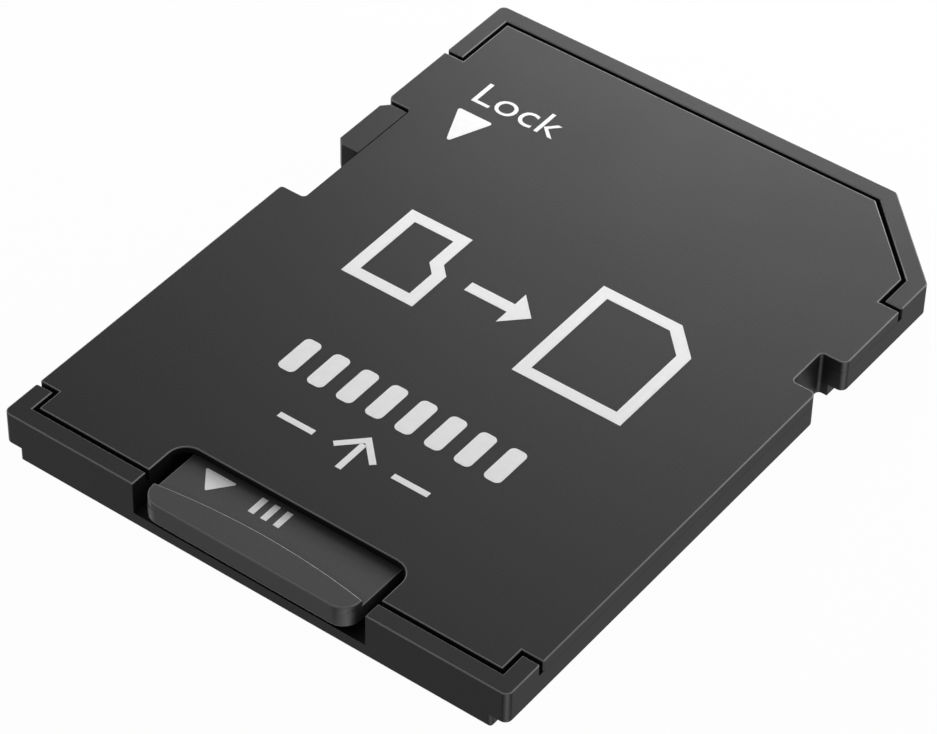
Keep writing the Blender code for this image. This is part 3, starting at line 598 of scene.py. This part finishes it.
# %% [markdown]
# ## The lock mark
#
# Beside the slider a word and a small triangle say which way locks the card. Blender's own font is
# close to the plain face on the real one. The text is turned into a mesh before it is placed, so
# that its place is in its points. Its faces are set flat, because text comes out smooth-shaded.

# %% Lock mark
LOCK_CORNER = Vector((-9.21 * MM, 10.0 * MM))
LOCK_WIDTH = 4.15 * MM
LOCK_CAP = 1.4 * MM
# What the pen loses on each side, as a share of the text's own size.
LOCK_PEN_TRIM = 0.004
LOCK_ARROW_LEFT = -9.32 * MM
LOCK_ARROW_TOP = 9.32 * MM
LOCK_ARROW_SIZE = (1.79 * MM, 2.1 * MM)
LOCK_ARROW_ROUND = 0.1 * MM
# Doubled points are merged before the text is scaled, so this is in the text's own size too.
TEXT_MERGE = 1e-6


def flat_text(text, pen_trim):
    """Text in Blender's own font as a flat mesh, with a slightly thinner pen."""
    lettering = bpy.data.curves.new("lettering", "FONT")
    lettering.body = text
    lettering.resolution_u = 4
    lettering.offset = -pen_trim
    holder = bpy.data.objects.new("lettering", lettering)
    bpy.context.scene.collection.objects.link(holder)
    bpy.context.view_layer.update()
    graph = bpy.context.evaluated_depsgraph_get()
    flat = bpy.data.meshes.new_from_object(holder.evaluated_get(graph))
    bpy.data.objects.remove(holder)
    return flat


def word(name, text, pen_trim, corner, width, height, z, body):
    """Printed text that fills a box, given by its lower left corner, on a surface at height z."""
    flat = flat_text(text, pen_trim)
    xs = [vert.co.x for vert in flat.vertices]
    ys = [vert.co.y for vert in flat.vertices]
    work = bmesh.new()
    work.from_mesh(flat)
    bmesh.ops.remove_doubles(work, verts=work.verts, dist=TEXT_MERGE)
    for face in work.faces:
        face.smooth = False
    for vert in work.verts:
        vert.co.x = corner.x + (vert.co.x - min(xs)) * width / (max(xs) - min(xs))
        vert.co.y = corner.y + (vert.co.y - min(ys)) * height / (max(ys) - min(ys))
        vert.co.z = z
    return print_flat(name, work, body)


lock_word = word(
    "lock_word", "Lock", LOCK_PEN_TRIM, LOCK_CORNER, LOCK_WIDTH, LOCK_CAP, cover_z, "case")
arrow_width, arrow_height = LOCK_ARROW_SIZE
lock_triangle = plate("lock_triangle", [rounded([
    (LOCK_ARROW_LEFT, LOCK_ARROW_TOP),
    (LOCK_ARROW_LEFT + arrow_width, LOCK_ARROW_TOP),
    (LOCK_ARROW_LEFT + arrow_width / 2, LOCK_ARROW_TOP - arrow_height),
], LOCK_ARROW_ROUND)], cover_z, "case")
print("lock mark:", len(lock_word.data.vertices), "points and", len(lock_triangle.data.vertices))

# %% [markdown]
# ## The drawing on the cover
#
# The middle of the cover shows, without words, what the adapter does: a small card with its
# stepped side, an arrow, and the full-size card that it becomes. The lines are bold, as wide as
# letters of that height would have.

# %% Card drawing
PEN = 0.55 * MM
SMALL_CARD_CORNER = Vector((-6.6 * MM, -1.4 * MM))
SMALL_CARD_SIZE = Vector((3.0 * MM, 4.1 * MM))
SMALL_CARD_STEP = 0.5 * MM
SMALL_CARD_STEP_AT = 0.45
BIG_CARD_CORNER = Vector((2.2 * MM, -1.9 * MM))
BIG_CARD_SIZE = Vector((4.6 * MM, 5.6 * MM))
BIG_CARD_CUT = 1.2 * MM
ARROW_START = Vector((-2.3 * MM, 0.65 * MM))
ARROW_LENGTH = 3.1 * MM
ARROW_HEAD = 1.0 * MM


def closed_stroke(corners, pen):
    """The outline of a closed path, as strips that meet in mitres, one strip for each side."""
    count = len(corners)
    places = [Vector(p) for p in corners]
    inner, outer = [], []
    for i in range(count):
        before = (places[i] - places[i - 1]).normalized()
        after = (places[(i + 1) % count] - places[i]).normalized()
        normal = Vector((-(before + after).y, (before + after).x)).normalized()
        reach = pen / 2 / normal.dot(Vector((-after.y, after.x)))
        inner.append(tuple(places[i] + normal * reach))
        outer.append(tuple(places[i] - normal * reach))
    ends = [(i + 1) % count for i in range(count)]
    return [[outer[i], outer[end], inner[end], inner[i]] for i, end in enumerate(ends)]


x0, y0 = SMALL_CARD_CORNER
x1, y1 = SMALL_CARD_CORNER + SMALL_CARD_SIZE
step, step_y = SMALL_CARD_STEP, y0 + SMALL_CARD_STEP_AT * (y1 - y0)
small_card_line = [
    (x0, y0), (x1, y0), (x1, step_y), (x1 - step, step_y + step), (x1 - step, y1), (x0, y1)]
x0, y0 = BIG_CARD_CORNER
x1, y1 = BIG_CARD_CORNER + BIG_CARD_SIZE
big_card_line = [(x0, y0), (x1, y0), (x1, y1 - BIG_CARD_CUT), (x1 - BIG_CARD_CUT, y1), (x0, y1)]
ax, ay = ARROW_START
tip = ax + ARROW_LENGTH
neck = tip - ARROW_HEAD
arrow_line = [
    (ax, ay - PEN / 2), (neck, ay - PEN / 2), (neck, ay - ARROW_HEAD),
    (tip, ay), (neck, ay + ARROW_HEAD), (neck, ay + PEN / 2), (ax, ay + PEN / 2)]
drawing = plate(
    "card_drawing",
    closed_stroke(small_card_line, PEN) + closed_stroke(big_card_line, PEN) + [arrow_line],
    cover_z, "case")
print("drawing:", len(drawing.data.polygons), "faces")

# %% [markdown]
# ## A row of bars by Geometry Nodes
#
# Below the drawing a row of bars stands for the contacts. A row of equal shapes is what Geometry
# Nodes are made for: a line of points, one bar on each, and a named input for every size. The tree
# realises its instances, because the export keeps only real geometry, and the result is turned
# into a plain mesh before it rides on the case.

# %% Bars
BARS = 8
BAR_SIZE = (0.8 * MM, 2.0 * MM)
BAR_PITCH = 1.42 * MM
BAR_ROUND = 0.25 * MM
BAR_ROUND_STEPS = 5
SEAL_WITHIN = 0.001 * MM
BARS_MIDDLE = Vector((-0.05 * MM, -6.6 * MM))


def bar_row_tree():
    """A node tree that sets rounded bars side by side. Its sizes are named inputs."""
    tree = bpy.data.node_groups.new("bar_row", "GeometryNodeTree")
    sizes = {
        "Count": "NodeSocketInt", "Pitch": "NodeSocketFloat", "Width": "NodeSocketFloat",
        "Height": "NodeSocketFloat", "Round": "NodeSocketFloat", "Thickness": "NodeSocketFloat",
        "Middle": "NodeSocketVector", "Ink": "NodeSocketMaterial"}
    for name, kind in sizes.items():
        tree.interface.new_socket(name, in_out="INPUT", socket_type=kind)
    tree.interface.new_socket("Geometry", in_out="OUTPUT", socket_type="NodeSocketGeometry")
    given = add_node(tree, "NodeGroupInput").outputs
    bar = add_node(tree, "GeometryNodeCurvePrimitiveQuadrilateral",
                   inputs={"Width": given["Width"], "Height": given["Height"]})
    softened = add_node(tree, "GeometryNodeFilletCurve", {"mode": "POLY"}, {
        "Curve": bar.outputs["Curve"], "Count": BAR_ROUND_STEPS, "Radius": given["Round"]})
    face = add_node(tree, "GeometryNodeFillCurve", {"mode": "NGONS"}, {
        "Curve": softened.outputs["Curve"]})
    raised = add_node(tree, "GeometryNodeExtrudeMesh", inputs={
        "Mesh": face.outputs["Mesh"], "Offset Scale": given["Thickness"], "Individual": False})
    floor = add_node(tree, "GeometryNodeFlipFaces", inputs={"Mesh": face.outputs["Mesh"]})
    whole = add_node(tree, "GeometryNodeJoinGeometry")
    tree.links.new(floor.outputs["Mesh"], whole.inputs["Geometry"])
    tree.links.new(raised.outputs["Mesh"], whole.inputs["Geometry"])
    sealed = add_node(tree, "GeometryNodeMergeByDistance", inputs={
        "Geometry": whole.outputs["Geometry"], "Distance": SEAL_WITHIN})
    gaps = add_node(tree, "ShaderNodeMath", {"operation": "SUBTRACT"}, {0: given["Count"], 1: 1.0})
    span = add_node(tree, "ShaderNodeMath", {"operation": "MULTIPLY"}, {
        0: gaps.outputs[0], 1: given["Pitch"]})
    back = add_node(tree, "ShaderNodeMath", {"operation": "MULTIPLY"}, {
        0: span.outputs[0], 1: -0.5})
    offset = add_node(tree, "ShaderNodeCombineXYZ", inputs={"X": back.outputs[0]})
    start = add_node(tree, "ShaderNodeVectorMath", {"operation": "ADD"}, {
        0: given["Middle"], 1: offset.outputs["Vector"]})
    step = add_node(tree, "ShaderNodeCombineXYZ", inputs={"X": given["Pitch"]})
    row = add_node(tree, "GeometryNodeMeshLine", {"mode": "OFFSET"}, {
        "Count": given["Count"], "Start Location": start.outputs["Vector"],
        "Offset": step.outputs["Vector"]})
    placed = add_node(tree, "GeometryNodeInstanceOnPoints", inputs={
        "Points": row.outputs["Mesh"], "Instance": sealed.outputs["Geometry"]})
    real = add_node(tree, "GeometryNodeRealizeInstances", inputs={
        "Geometry": placed.outputs["Instances"]})
    inked = add_node(tree, "GeometryNodeSetMaterial", inputs={
        "Geometry": real.outputs["Geometry"], "Material": given["Ink"]})
    add_node(tree, "NodeGroupOutput", inputs={"Geometry": inked.outputs["Geometry"]})
    return tree


def grown(name, tree, values, body):
    """Runs a node tree with named values, and keeps its result as a plain mesh on a body."""
    seed = bpy.data.objects.new(f"{name}_seed", bpy.data.meshes.new(f"{name}_seed"))
    bpy.context.scene.collection.objects.link(seed)
    modifier = seed.modifiers.new("grow", "NODES")
    modifier.node_group = tree
    for item in tree.interface.items_tree:
        if item.in_out == "INPUT" and item.name in values:
            modifier[item.identifier] = values[item.name]
    bpy.context.view_layer.update()
    graph = bpy.context.evaluated_depsgraph_get()
    mesh = bpy.data.meshes.new_from_object(seed.evaluated_get(graph))
    mesh.name = name
    bpy.data.objects.remove(seed)
    return add_piece(name, mesh, body)


bars = grown("contact_bars", bar_row_tree(), {
    "Count": BARS, "Pitch": BAR_PITCH, "Width": BAR_SIZE[0], "Height": BAR_SIZE[1],
    "Round": BAR_ROUND, "Thickness": INK_THICKNESS,
    "Middle": (BARS_MIDDLE.x, BARS_MIDDLE.y, cover_z), "Ink": white_ink,
}, "case")
print("bars:", len(bars.data.polygons), "faces")

# %% [markdown]
# ## The arrow to the mouth
#
# A thin arrow above the mouth shows which way the small card goes in. A short line on each side of
# it stands for a side of the slot.

# %% Insertion arrow
THIN_PEN = 0.28 * MM
SHAFT_FOOT, SHAFT_TOP = -10.6 * MM, -8.7 * MM
CHEVRON_HALF = 0.95 * MM
SIDE_LINES = ((-3.6 * MM, -1.9 * MM), (1.9 * MM, 3.6 * MM))
chevron_y, line_y = SHAFT_TOP - CHEVRON_HALF, (SHAFT_FOOT + SHAFT_TOP) / 2
insertion_arrow = plate("insertion_arrow", [
    stroke([(0.0, SHAFT_FOOT), (0.0, SHAFT_TOP - THIN_PEN)], THIN_PEN),
    stroke([(-CHEVRON_HALF, chevron_y), (0.0, SHAFT_TOP), (CHEVRON_HALF, chevron_y)], THIN_PEN),
    *[stroke([(left, line_y), (right, line_y)], THIN_PEN) for left, right in SIDE_LINES],
], cover_z, "case")
print("arrow:", len(insertion_arrow.data.polygons), "faces")

# %% [markdown]
# ## Marks on the small card
#
# The small card is printed in the same white: a triangle and a few ticks, in the part that the
# cover leaves open.

# %% Card marks
CARD_TRIANGLE = ((-4.15 * MM, -13.35 * MM), (-2.6 * MM, -13.35 * MM), (-3.4 * MM, -14.35 * MM))
CARD_TRIANGLE_ROUND = 0.06 * MM
TICKS = (-1.3 * MM, -0.7 * MM, -0.1 * MM)
TICK_TOP, TICK_FOOT = -13.3 * MM, -14.2 * MM
card_marks = plate("card_marks", [
    rounded(CARD_TRIANGLE, CARD_TRIANGLE_ROUND),
    *[stroke([(x, TICK_TOP), (x, TICK_FOOT)], THIN_PEN) for x in TICKS],
], card_top, "small_card")
print("card marks:", len(card_marks.data.polygons), "faces")

# %% [markdown]
# ## Studio
#
# The picture was taken from above and to the right with a long lens, on white. Three soft lamps
# behind the object lift the far side of the cover, and one at the side lights the faces that look
# to the right. The near faces get only the quiet light of the world. A white that is seen must not
# be a white that lights, or the case would turn grey, so the Light Path node tells the two apart.
# The camera, and rays that bounce off gloss or pass through glass, meet a background of strength 1.
# All the other rays get the paper's real shade, which keeps the shadow, and a quiet world.

# %% The background that is seen
PAPER_HALF = 0.6
PAPER_DROP = 0.005 * MM
SEEN_SHARE = 0.975


def seen_rays(tree):
    """1 for the rays that show the background, from the camera, off gloss or through glass."""
    path = add_node(tree, "ShaderNodeLightPath").outputs
    bounced = add_node(tree, "ShaderNodeMath", {"operation": "MAXIMUM"}, {
        0: path["Is Glossy Ray"], 1: path["Is Transmission Ray"]})
    return add_node(tree, "ShaderNodeMath", {"operation": "MAXIMUM"}, {
        0: path["Is Camera Ray"], 1: bounced.outputs[0]}).outputs[0]


white_paper, tree, shader = new_material("white_paper")
shader.inputs["Base Color"].default_value = linear("#d0d0d0")
shader.inputs["Roughness"].default_value = 0.9
share = add_node(tree, "ShaderNodeMath", {"operation": "MULTIPLY"}, {
    0: seen_rays(tree), 1: SEEN_SHARE})
# The emission is only seen, so it is never sampled as a lamp.
glow = add_node(tree, "ShaderNodeEmission", inputs={"Color": linear("#ffffff"), "Strength": 1.0})
mixed = add_node(tree, "ShaderNodeMixShader", inputs={
    0: share.outputs[0], 1: shader.outputs["BSDF"], 2: glow.outputs["Emission"]})
output = next(node for node in tree.nodes if node.bl_idname == "ShaderNodeOutputMaterial")
tree.links.new(mixed.outputs["Shader"], output.inputs["Surface"])
white_paper.cycles.emission_sampling = "NONE"
paper_z = case_low.z - PAPER_DROP
corners = [(-1, -1), (1, -1), (1, 1), (-1, 1)]
paper_mesh = bpy.data.meshes.new("paper")
places = [(x * PAPER_HALF, y * PAPER_HALF, paper_z) for x, y in corners]
paper_mesh.from_pydata(places, [], [(0, 1, 2, 3)])
paper_mesh.materials.append(white_paper)
paper = bpy.data.objects.new("paper", paper_mesh)
bpy.context.scene.collection.objects.link(paper)
paper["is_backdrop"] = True
print("paper faces up:", paper_mesh.polygons[0].normal.z > 0)

# %% World and lamps
FILL_STRENGTH = 0.2
# Each lamp's name, azimuth and elevation in degrees, then distance, width, height and watts.
SOFT_BOXES = (
    ("low_back_softbox", -32, 30, 0.085, 0.08, 0.03, 0.0217),
    ("grazing_back_softbox", -18, 22, 0.075, 0.05, 0.02, 0.0366),
    ("high_back_softbox", -15, 45, 0.12, 0.06, 0.04, 0.0174),
    ("side_softbox", 40, 30, 0.08, 0.04, 0.03, 0.0154),
)
world = bpy.data.worlds.new("studio")
bpy.context.scene.world = world
world.use_nodes = True
tree = world.node_tree
tree.nodes.clear()
fill = add_node(tree, "ShaderNodeBackground", inputs={
    "Color": linear("#ffffff"), "Strength": FILL_STRENGTH})
white = add_node(tree, "ShaderNodeBackground", inputs={"Color": linear("#ffffff"), "Strength": 1.0})
chosen = add_node(tree, "ShaderNodeMixShader", inputs={
    0: seen_rays(tree), 1: fill.outputs["Background"], 2: white.outputs["Background"]})
add_node(tree, "ShaderNodeOutputWorld", inputs={"Surface": chosen.outputs["Shader"]})


def soft_box(name, azimuth, elevation, distance, width, height, strength):
    """A softbox that faces the object. Azimuth 0 is along +Y, and 90 is along +X."""
    lamp = bpy.data.lights.new(name, "AREA")
    lamp.shape = "RECTANGLE"
    lamp.size = width
    lamp.size_y = height
    lamp.energy = strength
    made = bpy.data.objects.new(name, lamp)
    made.visible_camera = False
    bpy.context.scene.collection.objects.link(made)
    turn, rise = math.radians(azimuth), math.radians(elevation)
    reach = math.cos(rise)
    towards = Vector((math.sin(turn) * reach, math.cos(turn) * reach, math.sin(rise)))
    made.location = towards * distance
    made.rotation_euler = towards.to_track_quat("Z", "Y").to_euler()


for row in SOFT_BOXES:
    soft_box(*row)
print("lamps:", [lamp.name for lamp in bpy.data.lights])

# %% [markdown]
# ## Camera
#
# The camera stands where a fit to the straight edges of the real case puts it. Its axes are given
# as two directions, and the third follows from them.

# %% Camera
CAMERA_PLACE = Vector((67.960, -95.629, 108.667)) * MM
CAMERA_RIGHT = Vector((0.7989, 0.6012, 0.0166))
CAMERA_FORWARD = Vector((-0.4311, 0.5916, -0.6813))
FOCAL_PIXELS = 4038.5
FRAME_PIXELS = 937
SENSOR_WIDTH = 36.0
CLIP_START = 0.005
lens = bpy.data.cameras.new("long_lens")
lens.sensor_width = SENSOR_WIDTH
lens.lens = FOCAL_PIXELS / FRAME_PIXELS * SENSOR_WIDTH
lens.clip_start = CLIP_START
camera = bpy.data.objects.new("camera", lens)
bpy.context.scene.collection.objects.link(camera)
back = -CAMERA_FORWARD.normalized()
up = back.cross(CAMERA_RIGHT).normalized()
right = up.cross(back)
turned = Matrix((right, up, back)).transposed().to_4x4()
camera.matrix_world = Matrix.Translation(CAMERA_PLACE) @ turned
bpy.context.scene.camera = camera
bpy.context.scene.view_settings.view_transform = "Standard"
print("lens in mm:", round(lens.lens, 1))

# %% [markdown]
# ## The size
#
# Both boxes are printed: the imported model's and the dressed one's.
# The dressed model has to stay in the box of the imported one, so both boxes are written down.

# %% Finish
bpy.context.view_layer.update()
new_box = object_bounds()
for kind, box in (("CAD", cad_box), ("visual", new_box)):
    print(kind, "box in mm:", [[round(value / MM, 3) for value in corner] for corner in box])
